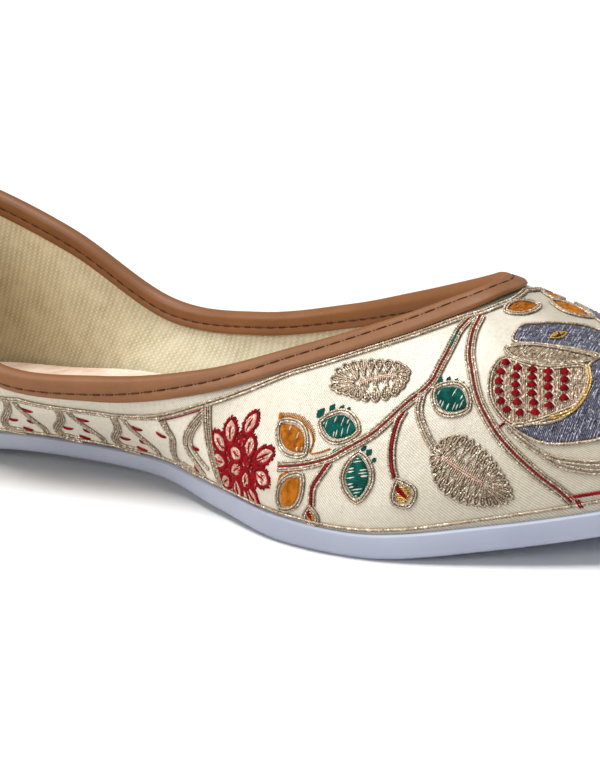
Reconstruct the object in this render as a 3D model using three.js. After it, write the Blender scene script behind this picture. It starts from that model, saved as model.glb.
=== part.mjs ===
// A mojari: a flat, low slip-on shoe for the right foot, on a thin moulded sole.
// Millimetres, +Z up. The toe points to +X, the outer (little toe) side to -Y, and it stands on Z = 0.
import * as THREE from 'three';

// Driving dimensions
const shoeLength = 254; // heel back to toe tip, along the sole
const ballWidth = 80; // across the sole at the ball of the foot
const backHeight = 64; // floor to the top of the heel's back edge
const toeSpring = 10.5; // floor to the underside of the toe tip
const ballSoleThickness = 5.6;
const soleEdgeRounding = 1.2; // how far the underside's edge is drawn in
const upperWall = 1.8; // cloth, leather and lining together
const featherInset = 1.3; // the upper's foot stands this far inside the sole's edge
const fitGap = 0.3; // between pieces that are glued or sewn together
const insoleThickness = 3;
const insoleCrown = 0.6; // the insole's middle above its edge
const insoleGap = 0.9; // the insole drops in clear of the wall, which leans over it at the toe
const bindingThickness = 0.9;
const bindingOuterLeg = 4.6; // folded strip, down the outside of the collar
const bindingInnerLeg = 4.8; // and down the inside

// Mesh fineness
const stepsPerRib = 6;
const wallSteps = 8;

const table = (columns, rows) => rows.map((row) => Object.fromEntries(columns.map((name, i) => [name, row[i]])));

// Sections of the sole, heel to toe. Along is % of the shoe's length; inner and outer are % of the
// ball width from the centre line; lift is % of the toe spring; thick is % of the sole's at the ball.
const soleSections = table(
  ['name', 'along', 'inner', 'outer', 'lift', 'thick'],
  [
    ['heel back', 0, 0, 0, 0, 76],
    ['heel corner', 2.4, 18.5, 18.5, 0, 76],
    ['heel seat', 10, 34, 34.5, 0, 76],
    ['heel breast', 21, 34, 34.5, 14, 75],
    ['rear waist', 32.5, 30, 34, 41, 74],
    ['front waist', 46, 29, 30.5, 27, 73],
    ['joint', 56, 36, 41, 12, 85],
    ['ball', 65, 45.5, 51, 0, 100],
    ['tread', 74, 47, 51.5, 0, 96],
    ['toe joint', 83, 42.5, 41.5, 26, 95],
    ['toe', 92, 28.5, 27, 59, 95],
    ['toe corner', 97.8, 16, 12, 87, 95],
    ['toe tip', 100, 2.5, -2.5, 100, 95],
  ],
);

// The collar over the same sections. Heights are % of the back height. Where the wall leaves the
// sole and where it meets the collar, it leans outwards from upright by an angle in degrees, and
// keeps that lean for a pull in mm. The collar is then cut lower by some mm over the instep.
const wallSections = table(
  ['along', 'inner', 'outer', 'innerHeight', 'outerHeight', 'footLean', 'footPull', 'collarLean', 'collarPull', 'innerCut', 'outerCut'],
  [
    [0.8, 0, 0, 100, 100, 8, 20, 4, 18, 0, 0],
    [2.8, 15.6, 15.6, 97.5, 98.5, 10, 20, 4, 18, 0, 0],
    [9.8, 28.8, 28, 86.8, 87.7, 12, 16, 6, 15, 0, 0],
    [20.9, 34.6, 39.3, 67.7, 66.9, 14, 13, 6, 12, 0, 0],
    [32, 39, 44, 41.8, 42.8, 25, 8, 8, 8, 0, 0],
    [43.7, 36.5, 40.4, 41, 41, 25, 7, 10, 7, 0, 0],
    [54.3, 36, 35.5, 48.1, 47.5, 15, 9, 20, 9, 0, 0.6],
    [62.6, 28.7, 27, 57.3, 57.5, 8, 11, 35, 12, 0, 1.3],
    [69.8, 20.5, 17.7, 66.2, 67.3, 2, 13, 52, 14, 0, 2.4],
    [73.8, 13.6, 9.8, 71.7, 73.4, -2, 15, 61, 18, 0, 3],
    [75.6, 9.8, 5.9, 74.4, 76, -4, 15, 66, 21, 0, 3.1],
    [76.8, 5.4, 1.8, 75.6, 76.5, -4, 15, 69, 23, 0.4, 1.7],
    [77.2, 1.8, -1.8, 76, 76, -4, 15, 70, 24, 0.7, 0.7],
  ],
);

// A rib is one section of one side: where its foot stands on the sole's edge, where its top meets
// the collar, and how it curves between. The ribs run once round the shoe, seen from above
// counter-clockwise: heel back, outer side, toe tip, inner side.
const makeRib = (index, side) => {
  const sole = soleSections[index];
  const wall = wallSections[index];
  const across = side === 'outer' ? -1 : 1;
  const thickness = (sole.thick / 100) * ballSoleThickness;
  return {
    edgeX: (sole.along / 100 - 0.5) * shoeLength,
    edgeY: (across * sole[side] * ballWidth) / 100,
    soleUnder: (sole.lift / 100) * toeSpring,
    soleTop: (sole.lift / 100) * toeSpring + thickness,
    collarX: (wall.along / 100 - 0.5) * shoeLength,
    collarY: (across * wall[side] * ballWidth) / 100,
    collarZ: (wall[`${side}Height`] / 100) * backHeight,
    footLean: THREE.MathUtils.degToRad(wall.footLean),
    footPull: wall.footPull,
    collarLean: THREE.MathUtils.degToRad(wall.collarLean),
    collarPull: wall.collarPull,
    collarCut: wall[`${side}Cut`],
  };
};
const last = soleSections.length - 1;
const ribs = [];
for (let index = 0; index <= last; index += 1) ribs.push(makeRib(index, 'outer'));
for (let index = last - 1; index > 0; index -= 1) ribs.push(makeRib(index, 'inner'));

// The rib at any place round the shoe, by a closed Catmull-Rom curve through every column.
const ribAt = (around) => {
  const whole = Math.floor(around);
  const t = around - whole;
  const [a, b, c, d] = [-1, 0, 1, 2].map((step) => ribs[(whole + step + ribs.length) % ribs.length]);
  const rib = {};
  for (const key of Object.keys(b)) {
    const bend = (-a[key] + 3 * b[key] - 3 * c[key] + d[key]) * t;
    const sway = 2 * a[key] - 5 * b[key] + 4 * c[key] - d[key];
    rib[key] = 0.5 * (2 * b[key] + ((bend + sway) * t + c[key] - a[key]) * t);
  }
  rib.soleUnder = Math.max(rib.soleUnder, 0);
  return rib;
};

// The level direction that points out of the shoe, square to its edge or to its collar.
const outwardAt = (around, xKey, yKey) => {
  const before = ribAt(around - 0.01 + ribs.length);
  const after = ribAt(around + 0.01);
  return new THREE.Vector3(after[yKey] - before[yKey], before[xKey] - after[xKey], 0).normalize();
};

const up = new THREE.Vector3(0, 0, 1);

// The curve of the upper's outer face at one place round the shoe, from foot to collar.
const ribCurve = (around) => {
  const rib = ribAt(around);
  const outFoot = outwardAt(around, 'edgeX', 'edgeY');
  const outCollar = outwardAt(around, 'collarX', 'collarY');
  const foot = new THREE.Vector3(rib.edgeX, rib.edgeY, rib.soleTop + fitGap).addScaledVector(outFoot, -featherInset);
  const collar = new THREE.Vector3(rib.collarX, rib.collarY, rib.collarZ);
  const fromFoot = foot.clone()
    .addScaledVector(outFoot, rib.footPull * Math.sin(rib.footLean))
    .addScaledVector(up, rib.footPull * Math.cos(rib.footLean));
  const toCollar = collar.clone()
    .addScaledVector(outCollar, rib.collarPull * Math.sin(rib.collarLean))
    .addScaledVector(up, -rib.collarPull * Math.cos(rib.collarLean));
  return new THREE.CubicBezierCurve3(foot, fromFoot, toCollar, collar);
};

// Where a rib's curve is a given distance down from its top, as a share of the curve, and where
// the collar is cut.
const heightBelowTop = (around, distance) => {
  const curve = ribCurve(around);
  return curve.getUtoTmapping(0, curve.getLength() - Math.max(distance, 0));
};
const collarHeight = (around) => heightBelowTop(around, ribAt(around).collarCut);

// A point of the upper, some depth in from its outer face, its height a share of the way from the
// foot to the collar. The foot is cut level, to sit on the sole.
const wallPoint = (around, height, depth) => {
  const share = height * collarHeight(around);
  const here = ribCurve(around);
  const point = here.getPoint(share);
  const ahead = ribCurve(around + 0.02).getPoint(share);
  const behind = ribCurve(around - 0.02 + ribs.length).getPoint(share);
  const out = ahead.sub(behind).cross(here.getTangent(share)).normalize();
  const level = outwardAt(around, 'edgeX', 'edgeY');
  const cut = THREE.MathUtils.clamp(1 - share * 5, 0, 1);
  out.lerp(level, cut).normalize();
  return point.addScaledVector(out, -depth);
};

// The height that lies a given distance down from the collar.
const heightBelowCollar = (around, distance) => (
  heightBelowTop(around, Math.max(ribAt(around).collarCut, 0) + distance) / collarHeight(around)
);

const roundTheShoe = [];
for (let step = 0; step < ribs.length * stepsPerRib; step += 1) roundTheShoe.push(step / stepsPerRib);

// Joins equal sections, one for each place round the shoe, into one closed ring.
const ring = (sections) => {
  const count = sections.length;
  const size = sections[0].length;
  const positions = sections.flat().flatMap((point) => point.toArray());
  const index = [];
  for (let i = 0; i < count; i += 1) {
    for (let j = 0; j < size; j += 1) {
      const here = i * size + j;
      const next = ((i + 1) % count) * size + j;
      const over = i * size + ((j + 1) % size);
      const nextOver = ((i + 1) % count) * size + ((j + 1) % size);
      index.push(here, next, nextOver, here, nextOver, over);
    }
  }
  return closedGeometry(positions, index);
};

// Joins level rings, lowest first, into a slab. The first and last are closed by rungs across the
// shoe, between the two places that lie over the same section.
const slab = (rings) => {
  const count = rings[0].length;
  const positions = rings.flat().flatMap((point) => point.toArray());
  const index = [];
  for (let level = 0; level + 1 < rings.length; level += 1) {
    for (let i = 0; i < count; i += 1) {
      const here = level * count + i;
      const next = level * count + ((i + 1) % count);
      index.push(here, next, next + count, here, next + count, here + count);
    }
  }
  const top = (rings.length - 1) * count;
  for (let i = 0; i < count / 2; i += 1) {
    const [outer, outerNext] = [i, i + 1];
    const [inner, innerNext] = [(count - i) % count, count - i - 1];
    const corners = i === 0 ? [[outer, outerNext, innerNext]] : [[outer, outerNext, inner], [outerNext, innerNext, inner]];
    for (const [a, b, c] of corners) {
      if (a === b || b === c) continue;
      index.push(a, c, b, top + a, top + b, top + c);
    }
  }
  return closedGeometry(positions, index);
};

const closedGeometry = (positions, index) => {
  const geometry = new THREE.BufferGeometry();
  geometry.setAttribute('position', new THREE.Float32BufferAttribute(positions, 3));
  geometry.setIndex(index);
  return geometry;
};

// The moulded sole: flat under the heel and the ball, hollowed at the waist, sprung at the toe.
const outsoleGeometry = () => {
  const level = (inset, share) => roundTheShoe.map((around) => {
    const rib = ribAt(around);
    const out = outwardAt(around, 'edgeX', 'edgeY');
    const z = THREE.MathUtils.lerp(rib.soleUnder, rib.soleTop, share);
    return new THREE.Vector3(rib.edgeX, rib.edgeY, z).addScaledVector(out, -inset);
  });
  return slab([
    level(soleEdgeRounding, 0),
    level(0, 0.25),
    level(0, 0.85),
    level(soleEdgeRounding * 0.4, 1),
  ]);
};

// The insole lies on the sole inside the upper, a little crowned.
const insoleGeometry = () => {
  const edgeInset = featherInset + upperWall + insoleGap;
  const level = (inset, height) => roundTheShoe.map((around) => {
    const rib = ribAt(around);
    const out = outwardAt(around, 'edgeX', 'edgeY');
    return new THREE.Vector3(rib.edgeX, rib.edgeY, rib.soleTop + fitGap + height).addScaledVector(out, -edgeInset - inset);
  });
  return slab([
    level(0, 0),
    level(0, insoleThickness * 0.8),
    level(insoleThickness * 0.4, insoleThickness),
    level(insoleThickness * 2, insoleThickness + insoleCrown),
  ]);
};

// The upper: one wall round the foot, closed over the toes, open at the collar and underneath.
const upperGeometry = () => ring(roundTheShoe.map((around) => {
  const section = [];
  for (let step = 0; step <= wallSteps; step += 1) section.push(wallPoint(around, step / wallSteps, 0));
  for (let step = wallSteps; step >= 0; step -= 1) section.push(wallPoint(around, step / wallSteps, upperWall));
  return section;
}));

// The binding: a strip of leather folded over the collar's edge, its section a narrow U upside down.
const bindingGeometry = () => ring(roundTheShoe.map((around) => {
  const outerTop = (distance) => heightBelowCollar(around, distance);
  const skin = -fitGap - bindingThickness;
  const innerFace = upperWall + fitGap;
  const innerSkin = innerFace + bindingThickness;
  const rise = ribCurve(around).getTangent(collarHeight(around));
  const crown = (depth, lift) => wallPoint(around, 1, depth).addScaledVector(rise, lift);
  return [
    wallPoint(around, outerTop(bindingOuterLeg), -fitGap),
    wallPoint(around, outerTop(bindingOuterLeg), skin),
    wallPoint(around, outerTop(bindingOuterLeg / 2), skin),
    wallPoint(around, 1, skin),
    crown(skin / 2, fitGap + bindingThickness * 0.8),
    crown(upperWall / 2, fitGap + bindingThickness),
    crown(innerSkin - bindingThickness / 2, fitGap + bindingThickness * 0.8),
    wallPoint(around, 1, innerSkin),
    wallPoint(around, outerTop(bindingInnerLeg / 2), innerSkin),
    wallPoint(around, outerTop(bindingInnerLeg), innerSkin),
    wallPoint(around, outerTop(bindingInnerLeg), innerFace),
    crown(innerFace, fitGap),
    crown(-fitGap, fitGap),
    wallPoint(around, outerTop(bindingOuterLeg / 2), -fitGap),
  ];
}));

const piece = (name, geometry, color, roughness, metalness = 0) => {
  geometry.computeVertexNormals();
  const mesh = new THREE.Mesh(geometry, new THREE.MeshStandardMaterial({ color, roughness, metalness }));
  mesh.name = name;
  return mesh;
};

const mojari = new THREE.Group();
mojari.add(piece('outsole', outsoleGeometry(), '#b3b9cb', 0.5));
mojari.add(piece('insole', insoleGeometry(), '#c3ab92', 0.85));
mojari.add(piece('upper', upperGeometry(), '#ddd2ba', 0.45));
mojari.add(piece('binding', bindingGeometry(), '#99683f', 0.55));

// The origin lies on the floor under the middle of the whole shoe.
const box = new THREE.Box3().setFromObject(mojari);
const middle = box.getCenter(new THREE.Vector3());
mojari.position.set(-middle.x, -middle.y, -box.min.z);

export default mojari;
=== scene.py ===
import math

import bpy
import numpy as np
from mathutils import Matrix, Vector
from mathutils.kdtree import KDTree


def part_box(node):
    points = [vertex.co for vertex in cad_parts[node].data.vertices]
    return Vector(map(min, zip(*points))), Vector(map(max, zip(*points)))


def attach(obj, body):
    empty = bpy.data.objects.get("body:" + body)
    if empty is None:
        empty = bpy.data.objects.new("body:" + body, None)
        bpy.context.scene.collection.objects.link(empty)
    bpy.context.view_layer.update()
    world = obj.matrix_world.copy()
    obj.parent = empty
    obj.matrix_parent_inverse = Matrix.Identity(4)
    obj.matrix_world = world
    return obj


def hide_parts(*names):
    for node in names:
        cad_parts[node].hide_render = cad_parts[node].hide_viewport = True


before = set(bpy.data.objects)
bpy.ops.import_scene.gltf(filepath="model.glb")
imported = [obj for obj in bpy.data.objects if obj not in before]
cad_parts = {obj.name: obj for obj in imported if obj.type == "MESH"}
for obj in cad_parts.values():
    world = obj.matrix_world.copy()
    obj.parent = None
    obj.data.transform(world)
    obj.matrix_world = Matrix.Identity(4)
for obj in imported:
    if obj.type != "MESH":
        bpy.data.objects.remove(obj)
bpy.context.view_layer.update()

# A mojari for the right foot: satin upper with zari and silk embroidery, leather binding, moulded sole.
# Sizes are in millimetres, and the meshes in metres. Toe to +X, outer side to -Y.
mm = 0.001
chance = np.random.default_rng(7)

# The shoe's own form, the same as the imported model's.
shoe = {
    "length": 254, "ballWidth": 80, "backHeight": 64, "toeSpring": 10.5, "ballSole": 5.6,
    "featherInset": 1.3, "fitGap": 0.3, "wall": 1.8,
}

# Along is % of the length; inner and outer % of the ball width; lift % of the toe spring; thick % of the ball's sole.
soleSections = [
    # along, inner, outer, lift, thick
    (0, 0, 0, 0, 76),  # heel back
    (2.4, 18.5, 18.5, 0, 76),
    (10, 34, 34.5, 0, 76),
    (21, 34, 34.5, 14, 75),
    (32.5, 30, 34, 41, 74),
    (46, 29, 30.5, 27, 73),  # waist
    (56, 36, 41, 12, 85),
    (65, 45.5, 51, 0, 100),  # ball
    (74, 47, 51.5, 0, 96),
    (83, 42.5, 41.5, 26, 95),
    (92, 28.5, 27, 59, 95),
    (97.8, 16, 12, 87, 95),
    (100, 2.5, -2.5, 100, 95),  # toe tip
]
wallSections = [
    # along, inner, outer, innerHeight, outerHeight, footLean, footPull, collarLean, collarPull, innerCut, outerCut
    (0.8, 0, 0, 100, 100, 8, 20, 4, 18, 0, 0),
    (2.8, 15.6, 15.6, 97.5, 98.5, 10, 20, 4, 18, 0, 0),
    (9.8, 28.8, 28, 86.8, 87.7, 12, 16, 6, 15, 0, 0),
    (20.9, 34.6, 39.3, 67.7, 66.9, 14, 13, 6, 12, 0, 0),
    (32, 39, 44, 41.8, 42.8, 25, 8, 8, 8, 0, 0),
    (43.7, 36.5, 40.4, 41, 41, 25, 7, 10, 7, 0, 0),
    (54.3, 36, 35.5, 48.1, 47.5, 15, 9, 20, 9, 0, 0.6),
    (62.6, 28.7, 27, 57.3, 57.5, 8, 11, 35, 12, 0, 1.3),
    (69.8, 20.5, 17.7, 66.2, 67.3, 2, 13, 52, 14, 0, 2.4),
    (73.8, 13.6, 9.8, 71.7, 73.4, -2, 15, 61, 18, 0, 3),
    (75.6, 9.8, 5.9, 74.4, 76, -4, 15, 66, 21, 0, 3.1),
    (76.8, 5.4, 1.8, 75.6, 76.5, -4, 15, 69, 23, 0.4, 1.7),
    (77.2, 1.8, -1.8, 76, 76, -4, 15, 70, 24, 0.7, 0.7),
]


def makeRib(index, outer):
    along, inner, outerEdge, lift, thick = soleSections[index]
    cAlong, cInner, cOuter, inHeight, outHeight, *leans, inCut, outCut = wallSections[index]
    footLean, footPull, collarLean, collarPull = leans
    across = -1 if outer else 1
    under = lift / 100 * shoe["toeSpring"]
    return [
        (along / 100 - 0.5) * shoe["length"],
        across * (outerEdge if outer else inner) / 100 * shoe["ballWidth"],
        under,
        under + thick / 100 * shoe["ballSole"],
        (cAlong / 100 - 0.5) * shoe["length"],
        across * (cOuter if outer else cInner) / 100 * shoe["ballWidth"],
        (outHeight if outer else inHeight) / 100 * shoe["backHeight"],
        math.radians(footLean), footPull, math.radians(collarLean), collarPull, outCut if outer else inCut,
    ]


# Ribs run once round the shoe: heel back 0, outer side 1 to 11, toe tip 12, inner side 13 to 23.
toeRib = len(soleSections) - 1
ribs = np.array([makeRib(i, True) for i in range(toeRib + 1)] + [makeRib(i, False) for i in range(toeRib - 1, 0, -1)])
ribCount = len(ribs)


# A smooth curve through b and c, a share t of the way between them.
def splineAt(a, b, c, d, t):
    return 0.5 * (2 * b + (((-a + 3 * b - 3 * c + d) * t + 2 * a - 5 * b + 4 * c - d) * t + c - a) * t)


def ribAt(around):
    whole = np.floor(around).astype(int)
    return splineAt(*(ribs[(whole + step) % ribCount] for step in (-1, 0, 1, 2)), (around - whole)[:, None])


def unit(v):
    return v / np.maximum(np.linalg.norm(v, axis=-1, keepdims=True), 1e-12)


# Length so far along a line of points, or along every row of a sheet of them.
def runAlong(points, axis=0):
    steps = np.linalg.norm(np.diff(points, axis=axis), axis=-1)
    start = np.zeros((len(points), 1)) if axis else [0]
    return np.concatenate([start, np.cumsum(steps, axis=axis)], axis)


# The places at given lengths along the line.
def pointsAt(lengths, run, points):
    return np.stack([np.interp(lengths, run, column) for column in np.transpose(points)], -1)


# Both sides of the shoe alike: ribs counted from the heel's back to the toe.
def fromHeel(around):
    return np.minimum(around, ribCount - around)


# The level direction out of the shoe, square to the sole's edge (column 0) or the collar (column 4).
def outwardAt(around, column):
    before, after = ribAt(around - 0.01), ribAt(around + 0.01)
    dx, dy = after[:, column] - before[:, column], after[:, column + 1] - before[:, column + 1]
    return unit(np.stack([dy, -dx, 0 * dx], -1))


up = np.array([0, 0, 1.0])


def ribCurve(around):
    rib = ribAt(around)
    outFoot, outCollar = outwardAt(around, 0), outwardAt(around, 4)
    foot = np.stack([rib[:, 0], rib[:, 1], rib[:, 3] + shoe["fitGap"]], -1) - shoe["featherInset"] * outFoot
    collar = rib[:, 4:7]
    fromFoot = foot + rib[:, 8:9] * (outFoot * np.sin(rib[:, 7:8]) + up * np.cos(rib[:, 7:8]))
    toCollar = collar + rib[:, 10:11] * (outCollar * np.sin(rib[:, 9:10]) - up * np.cos(rib[:, 9:10]))
    return foot, fromFoot, toCollar, collar


def facePoint(around, height):
    a, b, c, d = ribCurve(around)
    h = height[:, None]
    return a * (1 - h) ** 3 + b * 3 * h * (1 - h) ** 2 + c * 3 * h * h * (1 - h) + d * h ** 3


def faceRise(around, height):
    a, b, c, d = ribCurve(around)
    h = height[:, None]
    return 3 * ((b - a) * (1 - h) ** 2 + 2 * (c - b) * h * (1 - h) + (d - c) * h * h)


def faceAlong(around, height, step=0.01):
    return facePoint(around + step, height) - facePoint(around - step, height)


def faceNormal(around, height):
    out = unit(np.cross(faceAlong(around, height, 0.02), faceRise(around, height)))
    cut = np.clip(1 - height * 5, 0, 1)[:, None]
    return unit(out * (1 - cut) + outwardAt(around, 0) * cut)


# A point of the upper's wall, some lift out from its face, in millimetres.
def wallPoint(around, height, lift=0.0):
    return facePoint(around, height) + np.asarray(lift).reshape(-1, 1) * faceNormal(around, height)


# How finely the form is sampled: ribs and heights for its tables.
samples = {"edge": 289, "perRib": 20, "heights": 81, "bandAround": 289, "bandHeights": 41}

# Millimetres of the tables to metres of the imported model.
edgeLow = ribAt(np.linspace(0, ribCount, samples["edge"]))[:, :2].min(0)
origin = np.array([*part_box("outsole")[0][:2], 0]) - np.array([*edgeLow, 0]) * mm


def toModel(points):
    return points * mm + origin


# Distances along each rib, so that a height can be given in millimetres from the foot or the collar.
ribSteps = np.linspace(0, ribCount, ribCount * samples["perRib"] + 1)
heightSteps = np.linspace(0, 1, samples["heights"])
fine = facePoint(np.repeat(ribSteps, len(heightSteps)), np.tile(heightSteps, len(ribSteps)))
fine = fine.reshape(len(ribSteps), len(heightSteps), 3)
riseTable = runAlong(fine, 1)


def heightFor(around, distance, fromTop=False):
    around = np.mod(around, ribCount)
    slot = around / ribCount * (len(ribSteps) - 1)
    low = np.minimum(slot.astype(int), len(ribSteps) - 2)
    share = (slot - low)[:, None]
    rows = riseTable[low] * (1 - share) + riseTable[low + 1] * share
    wanted = rows[:, -1] - distance if fromTop else np.broadcast_to(distance, rows[:, 0].shape)
    return np.array([np.interp(w, row, heightSteps) for w, row in zip(wanted, rows)])


# The collar is cut lower than the sections' top over the instep.
def belowCollar(around, distance=0.0):
    return heightFor(around, np.maximum(ribAt(around)[:, 11], 0) + distance, True)


def startFresh():
    if bpy.context.object and bpy.context.object.mode != "OBJECT":
        bpy.ops.object.mode_set(mode="OBJECT")
    bpy.ops.object.select_all(action="DESELECT")


def selectOnly(piece):
    startFresh()
    piece.select_set(True)
    bpy.context.view_layer.objects.active = piece


def corners(mesh):
    co = np.empty(len(mesh.vertices) * 3)
    mesh.vertices.foreach_get("co", co)
    return co.reshape(-1, 3)


# A sheet wrapped once round the shoe: a grid whose vertices are moved to place(around, share), the seam merged.
def wrappedSheet(name, around, rows, place, spacing=None, solid=False):
    startFresh()
    bpy.ops.mesh.primitive_grid_add(x_subdivisions=around, y_subdivisions=rows, size=2)
    piece = bpy.context.object
    piece.name = piece.data.name = name
    mesh = piece.data
    co = corners(mesh)
    turn, share = (co[:, 0] + 1) / 2 * ribCount, (co[:, 1] + 1) / 2
    if spacing is not None:
        share = spacing(share)
    points = place(turn, share)
    mesh.vertices.foreach_set("co", toModel(points).ravel())
    layCloth(piece, turn, share, points)
    mesh.update()
    bpy.ops.object.mode_set(mode="EDIT")
    bpy.ops.mesh.select_all(action="SELECT")
    bpy.ops.mesh.remove_doubles(threshold=0.00001)
    if solid:
        bpy.ops.mesh.dissolve_degenerate(threshold=0.00001)
        bpy.ops.mesh.normals_make_consistent(inside=False)
    bpy.ops.object.mode_set(mode="OBJECT")
    return piece


# UV in centimetres: along the shoe and up the wall, so that a weave keeps its size.
def layCloth(piece, turn, share, points):
    mesh = piece.data
    columns, rows = np.unique(np.round(turn, 5)), np.unique(np.round(share, 6))
    sheet = np.zeros((len(columns), len(rows), 3))
    ci, ri = np.searchsorted(columns, np.round(turn, 5)), np.searchsorted(rows, np.round(share, 6))
    sheet[ci, ri] = points
    rise = runAlong(sheet, 1)
    run = runAlong(sheet[:, len(rows) // 3])
    uv = np.stack([run[ci], rise[ci, ri]], -1) / 10
    corner = np.empty(len(mesh.loops), dtype=int)
    mesh.loops.foreach_get("vertex_index", corner)
    mesh.uv_layers[0].data.foreach_set("uv", uv[corner].ravel())


def faceAway(piece, around, height, inward=False):
    mesh = piece.data
    mesh.update()
    wanted = faceNormal(np.array([around]), np.array([height]))[0] * (-1 if inward else 1)
    near = toModel(wallPoint(np.array([around]), np.array([height])))[0]
    face = min(mesh.polygons, key=lambda f: (f.center - Vector(near)).length)
    if face.normal.dot(Vector(wanted)) < 0:
        selectOnly(piece)
        bpy.ops.object.mode_set(mode="EDIT")
        bpy.ops.mesh.select_all(action="SELECT")
        bpy.ops.mesh.flip_normals()
        bpy.ops.object.mode_set(mode="OBJECT")


def applied(piece, kind, **settings):
    selectOnly(piece)
    change = piece.modifiers.new(kind.title(), kind)
    for key, value in settings.items():
        setattr(change, key, value)
    bpy.ops.object.modifier_apply(modifier=change.name)


def smooth(piece, angle):
    selectOnly(piece)
    bpy.ops.object.shade_smooth_by_angle(angle=math.radians(angle))


def finishPiece(piece, material, slot, *stands):
    piece.data.materials.clear()
    piece.data.materials.append(material)
    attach(piece, "root")
    if stands:
        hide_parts(*stands)


# Colours are written as seen on a screen, and materials work on linear ones.
def toLinear(color):
    return tuple(c / 12.92 if c <= 0.04045 else ((c + 0.055) / 1.055) ** 2.4 for c in color) + (1.0,)


class Finish:
    def __init__(self, name, color, roughness, **sockets):
        self.material = bpy.data.materials.new(name)
        self.material.use_nodes = True
        self.nodes, self.links = self.material.node_tree.nodes, self.material.node_tree.links
        self.shader = next(n for n in self.nodes if n.type == "BSDF_PRINCIPLED")
        self.shader.inputs["Base Color"].default_value = toLinear(color)
        self.shader.inputs["Roughness"].default_value = roughness
        for key, value in sockets.items():
            self.shader.inputs[key.replace("_", " ")].default_value = value
        self.place = self.nodes.new("ShaderNodeTexCoord")
        self.bump = None

    def node(self, kind, **settings):
        made = self.nodes.new("ShaderNode" + kind)
        inputs = settings.pop("inputs", {})
        for key, value in settings.items():
            setattr(made, key, value)
        for key, value in inputs.items():
            self.feed(made.inputs[key], value)
        return made

    def feed(self, socket, value):
        if hasattr(value, "is_linked"):
            self.links.new(value, socket)
        else:
            socket.default_value = value

    def math(self, operation, a, b=0.0):
        made = self.node("Math", operation=operation)
        for socket, value in zip(made.inputs, (a, b)):
            self.feed(socket, value)
        return made.outputs[0]

    def times(self, a, b):
        return self.math("MULTIPLY", a, b)

    def plus(self, a, b):
        return self.math("ADD", a, b)

    # A wave that repeats every pitch.
    def wave(self, value, pitch):
        return self.math("SINE", self.times(value, 2 * math.pi / pitch))

    def axes(self, space):
        return self.node("SeparateXYZ", inputs={"Vector": self.place.outputs[space]}).outputs

    def noise(self, scale, detail=2.0, rough=0.5):
        where = self.place.outputs["Object"]
        inputs = {"Scale": scale, "Detail": detail, "Roughness": rough, "Vector": where}
        return self.node("TexNoise", inputs=inputs).outputs["Fac"]

    def cells(self, scale, output):
        inputs = {"Scale": scale, "Vector": self.place.outputs["Object"]}
        return self.node("TexVoronoi", inputs=inputs).outputs[output]

    def ramp(self, value, *stops):
        made = self.node("ValToRGB")
        self.links.new(value, made.inputs["Fac"])
        band = made.color_ramp
        while len(band.elements) < len(stops):
            band.elements.new(0.5)
        for element, (at, color) in zip(band.elements, stops):
            element.position = at
            element.color = toLinear(color)
        return made.outputs["Color"]

    def mix(self, share, a, b, blend="MIX"):
        made = self.node("Mix", data_type="RGBA", blend_type=blend)
        self.feed(made.inputs[0], share)
        self.feed(made.inputs[6], a if hasattr(a, "is_linked") else toLinear(a))
        self.feed(made.inputs[7], b if hasattr(b, "is_linked") else toLinear(b))
        return made.outputs[2]

    def color(self, value):
        self.links.new(value, self.shader.inputs["Base Color"])

    def rough(self, value):
        self.links.new(value, self.shader.inputs["Roughness"])

    def relief(self, value, strength, distance):
        made = self.node("Bump", inputs={"Strength": strength, "Distance": distance, "Height": value})
        if self.bump:
            self.links.new(self.bump, made.inputs["Normal"])
        self.bump = made.outputs["Normal"]
        self.links.new(self.bump, self.shader.inputs["Normal"])


# The upper: one satin shell, from the feather line to the collar, its foot sunk a little into the sole's top.
upperSettings = {"around": 576, "rows": 60, "thickness": 1.25, "sink": 0.012, "smooth": 50}
# Weave pitches in centimetres.
satinSettings = {"twill": 0.066, "plain": 0.035, "unevenness": 0.7}


def satinFinish():
    look = Finish(
        "satin", (0.86, 0.82, 0.735), 0.42, Sheen_Weight=0.05, Sheen_Roughness=0.35,
        Specular_IOR_Level=1.0, Coat_Weight=0.2, Coat_Roughness=0.3)
    uv = look.axes("UV")
    wander = look.plus(look.times(look.noise(60), 0.06), look.times(look.noise(700, 1), 0.02))
    twill = look.wave(look.plus(look.plus(uv["X"], uv["Y"]), wander), satinSettings["twill"])
    plain = look.times(look.wave(uv["X"], satinSettings["plain"]), look.wave(uv["Y"], satinSettings["plain"]))
    band = look.node("Attribute", attribute_name="waistBand").outputs["Fac"]
    weave = look.node("Mix", data_type="FLOAT", inputs={0: band, 2: twill, 3: plain}).outputs[0]
    soft = look.ramp(look.noise(45, 3), (0.3, (0.785, 0.745, 0.665)), (0.7, (0.835, 0.80, 0.72)))
    depth = look.times(look.plus(weave, 1.0), look.noise(1400, 1))
    threads = look.mix(depth, (0.75, 0.73, 0.69), (1, 1, 1))
    cream = look.mix(band, soft, (0.90, 0.865, 0.795))
    look.color(look.mix(satinSettings["unevenness"], cream, threads, "MULTIPLY"))
    look.rough(look.plus(look.times(band, 0.2), 0.34))
    look.relief(weave, 0.3, 0.00008)
    # soft waves, and fine puckers where the cloth is drawn by the sewing
    look.relief(look.noise(110, 2), 0.25, 0.0012)
    look.relief(look.noise(420, 2), 0.22, 0.0005)
    return look.material


def upperSkin(turn, share):
    return wallPoint(turn, share * belowCollar(turn) - upperSettings["sink"] * (1 - share))


upper = wrappedSheet("upper", upperSettings["around"], upperSettings["rows"], upperSkin)
faceAway(upper, 8, 0.5)


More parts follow.
